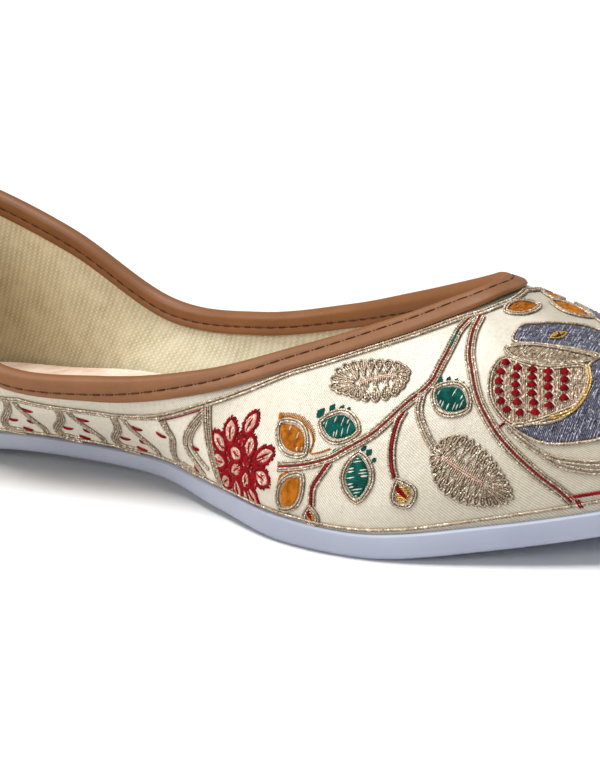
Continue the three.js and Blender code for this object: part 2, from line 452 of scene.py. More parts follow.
# The border cord: rib from the heel, millimetres below the collar.
borderDrops = (
    (0, 48), (1, 46), (2, 38), (3, 23), (3.6, 12), (4.2, 6.6), (5, 8.8), (5.5, 8.4),
    (6, 7.2), (7, 6.1), (8, 7.3), (9, 8.2), (10, 9.0), (11, 8.0), (12, 5.6),
)
# The panel line crosses the wall here, and the waist's band ends at it.
panelRib = 6.08


def borderDrop(around):
    return np.interp(fromHeel(around), *np.array(borderDrops).T)


# The plain cloth band at the waist and heel, under its border cord, is marked for the material.
def markBand(piece):
    turns = np.linspace(0, ribCount, samples["bandAround"])[:-1]
    levels = np.linspace(0, 1, samples["bandHeights"])
    turns, heights = np.repeat(turns, len(levels)), np.tile(levels, len(turns))
    inBand = (heights < heightFor(turns, borderDrop(turns), True)) & (fromHeel(turns) < panelRib)
    tree = KDTree(len(turns))
    for i, p in enumerate(toModel(wallPoint(turns, heights))):
        tree.insert(p, i)
    tree.balance()
    marks = [float(inBand[tree.find(p)[1]]) for p in corners(piece.data)]
    piece.data.attributes.new("waistBand", "FLOAT", "POINT").data.foreach_set("value", marks)


applied(upper, "SOLIDIFY", thickness=upperSettings["thickness"] * mm, offset=-1)
markBand(upper)
smooth(upper, upperSettings["smooth"])
finishPiece(upper, satinFinish(), "upper", "upper")
print("upper:", len(upper.data.polygons), "faces")

# The lining: canvas inside the wall, ending under the binding. Weave pitches in centimetres.
liningSettings = {
    "around": 288, "rows": 28, "depth": 1.78, "thickness": 0.4, "top": 0.985, "smooth": 50,
    "rowPitch": 0.17, "pickPitch": 0.11, "lean": 0.45, "pickLean": 0.2,
}


def canvasFinish():
    look = Finish("liningCanvas", (0.80, 0.755, 0.64), 0.85, Sheen_Weight=0.15, Specular_IOR_Level=0.3)
    uv = look.axes("UV")
    rows = look.wave(look.plus(uv["X"], look.times(uv["Y"], liningSettings["lean"])), liningSettings["rowPitch"])
    level = look.math("SUBTRACT", uv["Y"], look.times(uv["X"], liningSettings["pickLean"]))
    picks = look.wave(level, liningSettings["pickPitch"])
    dots = look.math("MAXIMUM", look.times(rows, look.plus(look.times(picks, 0.55), 0.45)), -0.4)
    shade = look.ramp(look.noise(35, 3), (0.3, (0.90, 0.855, 0.725)), (0.75, (0.955, 0.92, 0.80)))
    # painted shade: darker from the waist towards the toe, where less light reaches into the shoe
    along = look.plus(look.times(look.axes("Object")["X"], 5), 0.5)
    paintedToeShade = look.ramp(along, (0.05, (0.97, 0.96, 0.94)), (0.4, (0.87, 0.875, 0.89)))
    shade = look.mix(1.0, shade, paintedToeShade, "MULTIPLY")
    pits = look.mix(look.times(look.plus(dots, 0.4), 0.7), (0.80, 0.785, 0.72), (1, 1, 1))
    look.color(look.mix(look.times(look.noise(260, 2), 1.3), shade, pits, "MULTIPLY"))
    look.relief(dots, 0.35, 0.00018)
    return look.material


def liningSkin(turn, share):
    return wallPoint(turn, share * belowCollar(turn), -liningSettings["depth"])


lining = wrappedSheet(
    "lining", liningSettings["around"], liningSettings["rows"], liningSkin,
    lambda share: share * liningSettings["top"])
faceAway(lining, 6, 0.5, inward=True)
applied(lining, "SOLIDIFY", thickness=liningSettings["thickness"] * mm, offset=-1)
smooth(lining, liningSettings["smooth"])
finishPiece(lining, canvasFinish(), "upper")
print("lining made")

# The binding: tan leather folded over the collar, its stitch row pressed in. Its width runs up the outer leg,
# over the crown and down the inner leg.
bindingSettings = {
    "around": 480, "rows": 40, "thickness": 0.8, "gap": 0.3, "crown": 1.3,
    "crownFrom": 0.4, "crownTo": 0.62, "groove": 0.11, "grooveWidth": 0.45, "swell": 0.08,
    "roll": 0.45, "rollWidth": 0.9, "smooth": 60,
    # rib from the heel, then millimetres below the collar: outer edge, outer stitches, inner edge, inner stitches
    "legs": (
        (0, 4.4, 2.7, 5.0, 2.4), (3, 4.0, 2.5, 5.0, 2.4), (4, 3.7, 2.4, 5.1, 2.5), (4.5, 3.9, 2.45, 5.0, 2.4),
        (5, 4.5, 2.6, 4.8, 2.3),
        (6, 4.2, 1.95, 4.3, 2.0), (7, 4.3, 1.5, 4.2, 1.9), (8, 4.3, 1.2, 4.4, 2.0), (9.5, 4.5, 1.05, 4.6, 2.2),
        (12, 4.2, 1.1, 4.6, 2.2),
    ),
}


# Columns 1 and 2 are the outer leg's edge and stitches, 3 and 4 the inner leg's.
def bindingDrop(turn, column):
    legs = np.array(bindingSettings["legs"])
    return np.interp(fromHeel(turn), legs[:, 0], legs[:, column])


def bindingSkin(turn, share):
    s = bindingSettings
    skin = s["gap"] + s["thickness"]
    innerSkin = -(shoe["wall"] + skin)
    points = np.zeros((len(turn), 3))
    outer, inner = share < s["crownFrom"], share > s["crownTo"]
    downOuter, downInner = (s["crownFrom"] - share) / s["crownFrom"], (share - s["crownTo"]) / (1 - s["crownTo"])
    for flag, down, lift, sign, column in ((outer, downOuter, skin, 1, 1), (inner, downInner, innerSkin, -1, 3)):
        here = turn[flag]
        leg, row = bindingDrop(here, column), bindingDrop(here, column + 1)
        drop = leg * np.clip(down, 0, 1)[flag]
        press = s["groove"] * np.exp(-((drop - row) / s["grooveWidth"]) ** 2)
        roll = s["roll"] * np.clip((drop - leg + s["rollWidth"]) / s["rollWidth"], 0, 1) ** 2
        above, below = np.clip(drop / row, 0, 1), np.clip((drop - row) / (leg - row), 0, 1)
        swell = s["swell"] * (np.sin(np.pi * above) + np.sin(np.pi * below))
        points[flag] = wallPoint(here, belowCollar(here, drop), lift + sign * (swell - press - roll))
    crown = ~outer & ~inner
    here, bend = turn[crown], (share[crown] - s["crownFrom"]) / (s["crownTo"] - s["crownFrom"]) * np.pi
    half, middle = (skin - innerSkin) / 2, (skin + innerSkin) / 2
    collar = belowCollar(here)
    over = unit(faceRise(here, collar)) * (s["crown"] * np.sin(bend))[:, None]
    points[crown] = wallPoint(here, collar, middle + half * np.cos(bend)) + over
    return points


def leatherFinish():
    look = Finish(
        "bindingLeather", (0.60, 0.415, 0.29), 0.45, Specular_IOR_Level=0.38, Coat_Weight=0.05, Coat_Roughness=0.4)
    tone = look.ramp(look.noise(70, 4), (0.25, (0.465, 0.285, 0.135)), (0.75, (0.54, 0.345, 0.175)))
    grain = look.cells(2600.0, "Distance")
    fine = look.mix(look.times(grain, 0.9), (1, 1, 1), (0.88, 0.85, 0.82))
    look.color(look.mix(0.5, tone, fine, "MULTIPLY"))
    look.rough(look.plus(look.times(look.noise(900, 2), 0.16), 0.46))
    look.relief(grain, 0.12, 0.00006)
    look.relief(look.noise(160, 3), 0.10, 0.0004)
    return look.material


binding = wrappedSheet("binding", bindingSettings["around"], bindingSettings["rows"], bindingSkin)
faceAway(binding, 5, 0.95)
applied(binding, "SOLIDIFY", thickness=bindingSettings["thickness"] * mm, offset=-1)
smooth(binding, bindingSettings["smooth"])
finishPiece(binding, leatherFinish(), "binding", "binding")
print("binding made")

# The outsole and insole: rings that rise from the middle line of one face, round the edge, to the other.
# Levels: share of the way from the middle line to the edge, inset from the edge, share of the thickness.
outsoleSettings = {
    "around": 384, "spine": (-100, 108), "smooth": 35,
    "levels": [
        (0, 0, 0), (0.35, 0, 0), (0.7, 0, 0), (1, 3.2, 0), (1, 1.4, 0), (1, 0.75, 0.035), (1, 0.25, 0.12), (1, 0, 0.26),
        (1, 0, 0.55), (1, 0.02, 0.84), (1, 0.18, 0.94), (1, 0.6, 1), (1, 3, 1), (0.6, 0, 1), (0, 0, 1),
    ],
}
insoleSettings = {
    "around": 288, "spine": (-96, 100), "thickness": 3.0, "smooth": 35,
    "levels": [
        (0, 0, 0), (0.6, 0, 0), (1, 4.9, 0), (1, 4.2, 0.1), (1, 4, 0.35), (1, 4, 0.62), (1, 4.35, 0.85), (1, 5.1, 0.96),
        (1, 6.2, 1.01), (0.85, 4, 1.05), (0.65, 4, 1.11), (0.4, 4, 1.17), (0.2, 4, 1.2), (0, 4, 1.2),
    ],
}


def slabPlace(settings, height):
    shares, insets, rises = np.array(settings["levels"], float).T
    steps = np.arange(len(shares)) / (len(shares) - 1)
    first, last = settings["spine"]

    def place(turn, share):
        reach, inset, rise = (np.interp(share, steps, column) for column in (shares, insets, rises))
        rib, across = ribAt(turn), ribAt(ribCount - turn)
        edge = rib[:, :2] - outwardAt(turn, 0)[:, :2] * inset[:, None]
        spine = np.stack([np.clip(rib[:, 0], first, last), (rib[:, 1] + across[:, 1]) / 2], -1)
        return np.column_stack([spine + (edge - spine) * reach[:, None], height(rib, rise)])
    return place


def outsoleHeight(rib, rise):
    under = np.maximum(rib[:, 2], 0)
    return under + (rib[:, 3] - under) * rise


def insoleHeight(rib, rise):
    return rib[:, 3] + shoe["fitGap"] + insoleSettings["thickness"] * rise


def soleFinish():
    look = Finish(
        "mouldedSole", (0.70, 0.725, 0.80), 0.42, Specular_IOR_Level=0.45,
        Subsurface_Weight=0.12, Subsurface_Scale=0.004)
    tone = look.ramp(look.noise(40, 3), (0.3, (0.635, 0.655, 0.73)), (0.7, (0.68, 0.705, 0.775)))
    # painted shade: a little greyer from the waist back to the heel, the end of the sole in shade
    along = look.plus(look.times(look.axes("Object")["X"], 5), 0.6)
    paintedHeelShade = look.ramp(along, (0.2, (0.80, 0.79, 0.775)), (0.78, (0.885, 0.88, 0.875)), (1.0, (1, 1, 1)))
    look.color(look.mix(1.0, tone, paintedHeelShade, "MULTIPLY"))
    look.rough(look.plus(look.times(look.noise(260, 3), 0.22), 0.34))
    look.relief(look.noise(1500, 2), 0.08, 0.0001)
    return look.material


def insoleFinish():
    look = Finish("insoleLeather", (0.68, 0.575, 0.475), 0.8, Sheen_Weight=0.2, Specular_IOR_Level=0.3)
    tones = (0.3, (0.84, 0.715, 0.64)), (0.5, (0.92, 0.81, 0.72)), (0.75, (0.99, 0.93, 0.86))
    look.color(look.ramp(look.noise(130, 5, 0.7), *tones))
    look.relief(look.noise(900, 3), 0.3, 0.0002)
    look.relief(look.noise(170, 3), 0.4, 0.0009)
    return look.material


for name, settings, height, look, slot in (
    ("outsole", outsoleSettings, outsoleHeight, soleFinish(), "sole"),
    ("insole", insoleSettings, insoleHeight, insoleFinish(), "insole"),
):
    slab = wrappedSheet(name, settings["around"], len(settings["levels"]) - 1, slabPlace(settings, height), solid=True)
    smooth(slab, settings["smooth"])
    finishPiece(slab, look, slot, name)
print("sole and insole made")


# Embroidery tools: places are (rib, share of the wall's height); shapes are millimetres about a place.
def curveThrough(points, closed=False, spans=10):
    points = np.array(points, float)
    count = len(points)
    if closed:
        posts = [points[(np.arange(count) + step) % count] for step in (-1, 0, 1, 2)]
    else:
        full = np.vstack([2 * points[0] - points[1], points, 2 * points[-1] - points[-2]])
        posts = [full[step:count - 1 + step] for step in range(4)]
    t = (np.arange(spans) / spans)[None, :, None]
    dense = splineAt(*(post[:, None] for post in posts), t).reshape(-1, points.shape[1])
    return dense if closed else np.vstack([dense, points[-1]])


def localFrame(centre):
    around, height = np.array([centre[0]]), np.array([centre[1]])
    normal = faceNormal(around, height)[0]
    along = faceAlong(around, height)[0]
    along = unit(along - normal * (along @ normal))
    return facePoint(around, height)[0], along, np.cross(normal, along)


# The search below moves every point a little at a time, so that it can't overshoot.
search = {"rounds": 14, "ribStep": 0.25, "shareStep": 0.06, "flattest": 1e-3}


# Where on the face the shape's points fall, as (rib, share).
def spots(centre, shape):
    shape = np.asarray(shape, float)
    heart, acrossWay, upWay = localFrame(centre)
    around, height = np.full(len(shape), float(centre[0])), np.full(len(shape), float(centre[1]))
    for _ in range(search["rounds"]):
        here = facePoint(around, height) - heart
        missA, missR = shape[:, 0] - here @ acrossWay, shape[:, 1] - here @ upWay
        # millimetres for a whole rib, and for the wall's whole height
        sideways, upwards = faceAlong(around, height) / 0.02, faceRise(around, height)
        a, b, c, d = sideways @ acrossWay, upwards @ acrossWay, sideways @ upWay, upwards @ upWay
        det = a * d - b * c
        det = np.where(np.abs(det) < search["flattest"], search["flattest"], det)
        around = around + np.clip((d * missA - b * missR) / det, -search["ribStep"], search["ribStep"])
        rise = np.clip((a * missR - c * missA) / det, -search["shareStep"], search["shareStep"])
        height = np.clip(height + rise, 0.001, 1)
    return np.stack([around, height], -1)


# A place list as shape points about a centre, the other way round from spots.
def shapeOf(centre, places):
    heart, along, rise = localFrame(centre)
    places = np.asarray(places, float)
    here = facePoint(places[:, 0], places[:, 1]) - heart
    return np.stack([here @ along, here @ rise], -1)


# Side 0 is the outer one, side 1 its mirror image.
def sided(places, side):
    around, height = np.transpose(np.asarray(places, float))
    return np.stack([ribCount - around if side else around, height], -1)


# Even steps along a line of places: points and normals in millimetres.
def trace(places, step, side, closed=False):
    places = sided(places, side)
    if closed:
        last = places[:1].copy()
        last[0, 0] += ribCount * round((places[-1, 0] - last[0, 0]) / ribCount)
        places = np.vstack([places, last])
    run = runAlong(wallPoint(*places.T))
    even = np.linspace(0, run[-1], max(int(run[-1] / step), 3) + 1)
    if closed:
        even = even[:-1]
    around, height = pointsAt(even, run, places).T
    return wallPoint(around, height), faceNormal(around, height)


# One cord on its line, not a row of them.
single = (0.0,)
# Ridge and valley are shares of the cord's radius.
ropeSettings = {"step": 0.23, "turn": 1.7, "plies": 3, "flat": 0.85, "ridge": 1.15, "valley": 0.72}


# A twisted cord along a traced line, moved sideways by offset, its plies turning as it goes.
def rope(pile, traced, radius=0.3, offset=0.0, lift=0.25, closed=False):
    points, normals = traced
    s = ropeSettings
    ahead = np.roll(points, -1, 0) - np.roll(points, 1, 0)
    if not closed:
        ahead[0], ahead[-1] = points[1] - points[0], points[-1] - points[-2]
    tangent = unit(ahead)
    side = unit(np.cross(normals, tangent))
    centre = points + side * offset + normals * lift
    run = runAlong(centre)
    turns = run / s["turn"]
    if closed:
        total = run[-1] + np.linalg.norm(centre[0] - centre[-1])
        turns = run / total * max(round(total / s["turn"] * s["plies"]), 1) / s["plies"]
    k = np.arange(2 * s["plies"])
    angle = k * math.pi / s["plies"] + turns[:, None] * 2 * math.pi
    reach = radius * np.where(k % 2 == 0, s["ridge"], s["valley"])
    sideways, upwards = reach * np.cos(angle), s["flat"] * reach * np.sin(angle)
    rings = centre[:, None] + side[:, None] * sideways[..., None] + normals[:, None] * upwards[..., None]
    count, size = rings.shape[:2]
    ring = np.arange(count if closed else count - 1)[:, None] * size
    after = (ring + size) % (count * size)
    over = (k + 1) % size
    quads = np.stack([ring + k, ring + over, after + over, after + k], -1)
    if closed:
        # the last ring meets the first one a few plies further round
        shift = int(round(turns[-1] * s["plies"] + s["plies"] * (turns[1] - turns[0]))) * 2 % size
        quads[-1, :, 2], quads[-1, :, 3] = (over + size - shift) % size, (k + size - shift) % size
    quads = quads.reshape(-1, 4)
    if not closed:
        end = (count - 1) * size
        quads = np.vstack([quads, [[0, 3, 2, 1], [0, 5, 4, 3]], np.add(end, [[0, 1, 2, 3], [0, 3, 4, 5]])])
    piles[pile].append((rings.reshape(-1, 3), quads))


def ropesAlong(pile, places, offsets, side, radius=0.3, closed=False, lift=0.25):
    traced = trace(places, ropeSettings["step"], side, closed)
    for offset in offsets:
        rope(pile, traced, radius, offset, lift, closed)


# The cube lies on its edge, so its half diagonal is scaled back to 1.
stitchModel = {"cuts": (-0.36, -0.12, 0.12, 0.36), "endsFrom": 0.45, "endSize": 0.4, "halfDiagonal": 0.7071}


# One stitch, modelled once: a short thread, drawn in at its ends.
def modelStitch():
    startFresh()
    bpy.ops.mesh.primitive_cube_add(size=1)
    piece = bpy.context.object
    bpy.ops.object.mode_set(mode="EDIT")
    for cut in stitchModel["cuts"]:
        bpy.ops.mesh.select_all(action="SELECT")
        bpy.ops.mesh.bisect(plane_co=(cut, 0, 0), plane_no=(1, 0, 0))
    bpy.ops.mesh.select_all(action="SELECT")
    bpy.ops.transform.rotate(value=math.radians(45), orient_axis="X", center_override=(0, 0, 0))
    bpy.ops.mesh.select_all(action="DESELECT")
    bpy.ops.object.mode_set(mode="OBJECT")
    for vertex in piece.data.vertices:
        vertex.select = abs(vertex.co.x) > stitchModel["endsFrom"]
    bpy.ops.object.mode_set(mode="EDIT")
    bpy.ops.transform.resize(value=(1, stitchModel["endSize"], stitchModel["endSize"]))
    bpy.ops.object.mode_set(mode="OBJECT")
    wider = 1 / stitchModel["halfDiagonal"]
    points = np.array([v.co[:] for v in piece.data.vertices]) * (1, wider, wider)
    quads = np.array([f.vertices[:] for f in piece.data.polygons])
    bpy.data.objects.remove(piece)
    return points, quads


stitchPoints, stitchQuads = modelStitch()
# Long stitches arch higher, by their length squared over this.
archSpan = 240


# Copies of the stitch from start to end, width and height being its thread's half sizes.
def stitchesBetween(pile, starts, ends, normals, width=0.17, height=0.16, arch=0.12, sink=0.02):
    count = len(starts)
    reach = ends - starts
    tangent = unit(reach)
    side = unit(np.cross(normals, tangent))
    rise = np.cross(tangent, side)
    arch = arch + (np.linalg.norm(reach, axis=1) ** 2) / archSpan
    x, y, z = stitchPoints.T
    along = x + 0.5
    lift = height * z + arch[:, None] * 4 * along * (1 - along) - sink
    points = (
        starts[:, None] + reach[:, None] * along[None, :, None]
        + side[:, None] * (width * y)[None, :, None] + rise[:, None] * lift[..., None]
    )
    quads = stitchQuads[None] + (np.arange(count) * len(stitchPoints))[:, None, None]
    piles[pile].append((points.reshape(-1, 3), quads.reshape(-1, 4)))


def sewn(pile, centre, starts, ends, side, **thread):
    if not len(starts):
        return
    places = spots(centre, np.vstack([starts, ends]))
    sewnAt(pile, places[:len(starts)], places[len(starts):], side, **thread)


def sewnAt(pile, starts, ends, side, lift=0.0, **thread):
    a, b = sided(starts, side).T, sided(ends, side).T
    stitchesBetween(pile, wallPoint(*a, lift), wallPoint(*b, lift), faceNormal(*(a + b) / 2), **thread)


shortestRow = 0.35


# Rows of thread across a closed contour, turned to an angle; long rows are broken like bricks.
def hatched(contour, angle, pitch, longest, ragged, slit, gaps):
    flat = turned(contour, -angle)
    after = np.roll(flat, -1, 0)
    starts, ends = [], []
    for y in np.arange(flat[:, 1].min() + pitch * 0.4, flat[:, 1].max(), pitch):
        crossing = (flat[:, 1] > y) != (after[:, 1] > y)
        a, b = flat[crossing], after[crossing]
        xs = np.sort(a[:, 0] + (y - a[:, 1]) / (b[:, 1] - a[:, 1]) * (b[:, 0] - a[:, 0]))
        for left, right in zip(xs[::2], xs[1::2]):
            if right - left < shortestRow or chance.random() < slit:
                continue
            left, right = left - ragged * chance.random(), right + ragged * chance.random()
            pieces = max(math.ceil((right - left) / longest), 1)
            cuts = np.linspace(left, right, pieces + 1)
            cuts[1:-1] += chance.uniform(-0.3, 0.3, pieces - 1) * longest
            for low, high in zip(cuts[:-1], cuts[1:]):
                if not gaps or chance.random() > gaps:
                    starts.append((low, y)), ends.append((high, y))
    return [turned(np.reshape(rows, (-1, 2)), angle) for rows in (starts, ends)]


def satinFill(pile, centre, contour, angle, side, pitch=0.3, longest=99.0, ragged=0.1, slit=0.0, gaps=0.0, **thread):
    sewn(pile, centre, *hatched(contour, angle, pitch, longest, ragged, slit, gaps), side, **thread)


def turned(shape, angle, at=(0, 0)):
    cos, sin = math.cos(math.radians(angle)), math.sin(math.radians(angle))
    return np.asarray(shape) @ np.array([[cos, sin], [-sin, cos]]) + at


# The whole outline from its upper half.
def mirrored(half, angle, at):
    return turned(np.vstack([half, (half * (1, -1))[-2:0:-1]]), angle, at)


# A pointed oval about its middle, and a drop from its point outwards.
def leafShape(length, width, angle=0, at=(0, 0), fullness=0.8):
    t = np.linspace(0, 1, 17)
    half = np.stack([(t - 0.5) * length, width / 2 * np.sin(np.pi * t) ** fullness], -1)
    return mirrored(half, angle, at)


def dropShape(length, width, angle=0, at=(0, 0), bluntness=1.35):
    t = np.linspace(0, 1, 15)
    half = np.stack([t * length, width / 2 * np.sin(np.pi * t ** bluntness) ** 0.8], -1)
    return mirrored(half, angle, at)


def grown(contour, amount):
    contour = np.asarray(contour)
    ahead = unit(np.roll(contour, -1, 0) - np.roll(contour, 1, 0))
    out = np.stack([ahead[:, 1], -ahead[:, 0]], -1)
    area = np.sum(contour[:, 0] * np.roll(contour[:, 1], -1) - contour[:, 1] * np.roll(contour[:, 0], -1))
    return contour + out * amount * (1 if area > 0 else -1)


def outlined(pile, centre, contour, side, grow=0.0, offsets=single, radius=0.28, lift=0.25):
    ropesAlong(pile, spots(centre, grown(contour, grow)), offsets, side, radius, True, lift)


# Short threads standing out from a line, like a fringe.
def fringe(pile, centre, line, reach, side, pitch=0.28, ragged=0.25, start=-0.1, **thread):
    run = runAlong(line)
    at = pointsAt(np.linspace(0, run[-1], max(int(run[-1] / pitch), 2) + 1), run, line)
    ahead = unit(np.gradient(at, axis=0))
    out = np.stack([ahead[:, 1], -ahead[:, 0]], -1)
    length = reach * (1 + ragged * chance.uniform(-1, 1, len(at)))
    sewn(pile, centre, at + out * start, at + out * length[:, None], side, **thread)


def pieceFromPile(name, pile, material, slot):
    points = toModel(np.concatenate([part[0] for part in pile]))
    starts = np.cumsum([0] + [len(part[0]) for part in pile[:-1]])
    quads = np.concatenate([part[1] + first for part, first in zip(pile, starts)])
    mesh = bpy.data.meshes.new(name)
    mesh.vertices.add(len(points))
    mesh.vertices.foreach_set("co", points.ravel())
    mesh.loops.add(quads.size)
    mesh.loops.foreach_set("vertex_index", quads.ravel())
    mesh.polygons.add(len(quads))
    mesh.polygons.foreach_set("loop_start", np.arange(len(quads)) * 4)
    mesh.polygons.foreach_set("use_smooth", np.ones(len(quads), bool))
    mesh.update(calc_edges=True)
    piece = bpy.data.objects.new(name, mesh)
    bpy.context.scene.collection.objects.link(piece)
    finishPiece(piece, material, slot)
    print(name + ":", len(quads) * 2, "triangles")


# Thread finishes: zari tone varies cell by cell, its brightest cells a painted glint; silk tone varies at random.
def zariFinish(name, dark, middle, bright, metal=0.75):
    look = Finish(name, middle, 0.38, Metallic=metal, Specular_IOR_Level=0.5)
    paintedGlintCells = look.node("SeparateColor", inputs={"Color": look.cells(2900.0, "Color")}).outputs[0]
    # the brightest cells are a painted glint
    look.color(look.ramp(paintedGlintCells, (0.0, dark), (0.3, middle), (0.82, middle), (0.93, bright)))
    look.rough(look.plus(look.times(paintedGlintCells, -0.2), 0.5))
    look.relief(paintedGlintCells, 0.25, 0.0001)
    return look.material


def silkFinish(name, dark, bright):
    look = Finish(name, bright, 0.5, Specular_IOR_Level=0.12)
    look.color(look.ramp(look.noise(700, 2), (0.3, dark), (0.62, bright)))
    look.relief(look.noise(5200, 1), 0.15, 0.00008)
    return look.material


# Each zari's last colour is the painted glint of its brightest cells.
zari = zariFinish("zari", (0.43, 0.355, 0.28), (0.70, 0.625, 0.53), (0.95, 0.90, 0.82), 0.4)
goldZari = zariFinish("goldZari", (0.42, 0.30, 0.10), (0.80, 0.62, 0.28), (1.0, 0.92, 0.62))
finishes = {
    "zariBand": zari, "zariBorder": zari, "zariStems": zari, "zariMotifs": zari, "gold": goldZari,
    "Crimson": silkFinish("silkCrimson", (0.40, 0.0, 0.03), (0.60, 0.01, 0.07)),
    "DarkRed": silkFinish("silkDarkRed", (0.42, 0.03, 0.07), (0.62, 0.08, 0.13)),
    "Ochre": silkFinish("silkOchre", (0.52, 0.28, 0.03), (0.76, 0.46, 0.07)),
    "Teal": silkFinish("silkTeal", (0.0, 0.21, 0.19), (0.0, 0.38, 0.34)),
    "Grey": zariFinish("greyZari", (0.20, 0.20, 0.25), (0.40, 0.40, 0.46), (0.66, 0.66, 0.72), 0.5),
    "Silver": zariFinish("silverZari", (0.45, 0.45, 0.50), (0.66, 0.66, 0.71), (0.95, 0.95, 0.98), 0.6),
    "Bronze": zariFinish("bronzeZari", (0.40, 0.33, 0.26), (0.66, 0.58, 0.49), (0.94, 0.89, 0.80), 0.4),
    "Cream": silkFinish("silkCream", (0.74, 0.71, 0.64), (0.90, 0.87, 0.80)),
    "Brown": silkFinish("threadBrown", (0.22, 0.12, 0.06), (0.33, 0.20, 0.11)),
    "Blush": zariFinish("blushZari", (0.62, 0.42, 0.36), (0.84, 0.67, 0.59), (0.98, 0.88, 0.82), 0.4),
}
# Threads are gathered by finish, each pile becoming one piece.
piles = {name: [] for name in finishes}

# Binding stitches: one dash every few millimetres, on both faces of the fold.
stitchRow = {
    "samples": 1201, "pitch": 3.55, "dash": 2.7, "above": 0.03, "normalAt": 1.3, "hole": (-0.62, -0.08),
    "thread": {"width": 0.2, "height": 0.17, "arch": 0.10, "sink": 0.06},
    # the flat mark in each needle hole is painted shade of the hole
    "holeShadeThread": {"width": 0.24, "height": 0.08, "arch": 0.0, "sink": 0.02},
}


def bindingRow(outerFace):
    s = bindingSettings
    turns = np.linspace(0, ribCount, stitchRow["samples"])
    heights = belowCollar(turns, bindingDrop(turns, 2 if outerFace else 4))
    skin = s["gap"] + s["thickness"] - s["groove"] + stitchRow["above"]
    points = wallPoint(turns, heights, skin if outerFace else -(shoe["wall"] + skin))
    normals = faceNormal(turns, heights) * (1 if outerFace else -1)
    run = runAlong(points)
    count = int(run[-1] / stitchRow["pitch"])
    at = np.arange(count) * run[-1] / count
    out = pointsAt(at + stitchRow["normalAt"], run, normals)
    # a dash, then before it a flat brown mark in the needle hole, painted shade of the hole
    for (start, end), thread in (((0, stitchRow["dash"]), "thread"), (stitchRow["hole"], "holeShadeThread")):
        starts, ends = pointsAt(at + start, run, points), pointsAt(at + end, run, points)
        stitchesBetween("Brown", starts, ends, out, **stitchRow[thread])


for outerFace in (True, False):
    bindingRow(outerFace)

# Border cords: under the binding, and along the feather line.
borderSettings = {
    "samples": 721, "offsets": (-0.36, 0.36), "radius": 0.34,
    # rib from the heel, millimetres above the feather line
    "footHeight": ((0, 0.45), (7.6, 0.45), (8.4, 0.7), (9.2, 1.3), (10, 1.7), (12, 1.8)),
}
borderTurns = np.linspace(0, ribCount, borderSettings["samples"])[:-1]
footDrops = np.interp(fromHeel(borderTurns), *np.array(borderSettings["footHeight"]).T)
for heights, offsets in (
    (heightFor(borderTurns, borderDrop(borderTurns), True), borderSettings["offsets"]),
    (heightFor(borderTurns, footDrops), single),
):
    ropesAlong("zariBorder", np.stack([borderTurns, heights], -1), offsets, 0, borderSettings["radius"], True)

# The flowering branch, outer and inner side alike.
branch = {
    "main": [
        (6.99, 0.30), (7.29, 0.32), (7.57, 0.355), (7.70, 0.385), (7.82, 0.41), (8.0, 0.447), (8.17, 0.50),
        (8.34, 0.55), (8.51, 0.585), (8.64, 0.62), (8.78, 0.68), (8.98, 0.74), (9.22, 0.80), (9.49, 0.833),
        (9.7, 0.853),
    ],
    "mainTeal": [(8.98, 0.74), (9.10, 0.772), (9.22, 0.80)],
    "twigs": [
        [(7.57, 0.335), (7.47, 0.26), (7.41, 0.20), (7.40, 0.105)],
        [(8.31, 0.52), (8.24, 0.47), (8.20, 0.385), (8.21, 0.30), (8.24, 0.25)],
    ],
    "plainTwig": [(8.51, 0.575), (8.47, 0.505), (8.53, 0.42), (8.61, 0.345)],
    "sweep": [
        (9.90, 0.845), (9.54, 0.783), (9.30, 0.70), (9.21, 0.606), (9.17, 0.512), (9.20, 0.421), (9.25, 0.345),
        (9.34, 0.261), (9.46, 0.171), (9.56, 0.11), (9.64, 0.05),
    ],
    "cordOffsets": (-0.9, -0.45, 0.45, 0.9),
    "twigOffsets": (-0.62, 0.62),
}
# Leaves: place, fill length and width, tilt, thread angle, silk, share left free of pale threads.
leaves = [
    {"at": (7.12, 0.462), "size": (9.4, 5.0), "tilt": -43, "threads": 84, "silk": "Ochre", "slit": 0.72},
    {"at": (7.14, 0.161), "size": (8.0, 4.7), "tilt": 55, "threads": 31, "silk": "Ochre", "slit": 0.97},
    {"at": (7.62, 0.497), "size": (8.6, 5.4), "tilt": -19, "threads": 77, "silk": "Teal", "slit": 0.45},
    {"at": (7.87, 0.266), "size": (8.6, 5.4), "tilt": 90, "threads": 6, "silk": "Teal", "slit": 0.45},
    {"at": (8.84, 0.529), "size": (7.6, 5.6), "tilt": -42, "threads": 58, "silk": "Teal", "slit": 0.45},
]
# Teal tufts: place of the leaf they belong to, then centre x, y, length, width, tilt.
tufts = [
    ((7.62, 0.497), [
        (-4.9, 3.7, 2.7, 1.7, 50), (-2.2, 4.5, 2.0, 1.2, 60), (0.1, 4.1, 1.8, 1.0, 60), (1.7, 3.6, 1.5, 0.9, 55),
    ]),
    ((7.87, 0.266), [
        (-0.9, 6.4, 1.6, 0.9, 60), (0.9, 5.9, 1.6, 0.9, 40), (2.2, 5.0, 1.7, 1.2, 50), (3.5, 3.4, 1.2, 0.8, 40),
    ]),
    ((8.84, 0.529), [
        (-1.9, 4.7, 1.7, 0.8, 70), (-0.3, 4.4, 1.7, 0.8, 65), (1.3, 3.7, 1.5, 0.8, 60), (2.6, 2.7, 1.4, 0.7, 55),
        (3.7, 1.4, 1.2, 0.6, 45),
    ]),
    ((7.68, 0.375), [(-1.3, 0.3, 3.4, 1.2, 25)]),
]
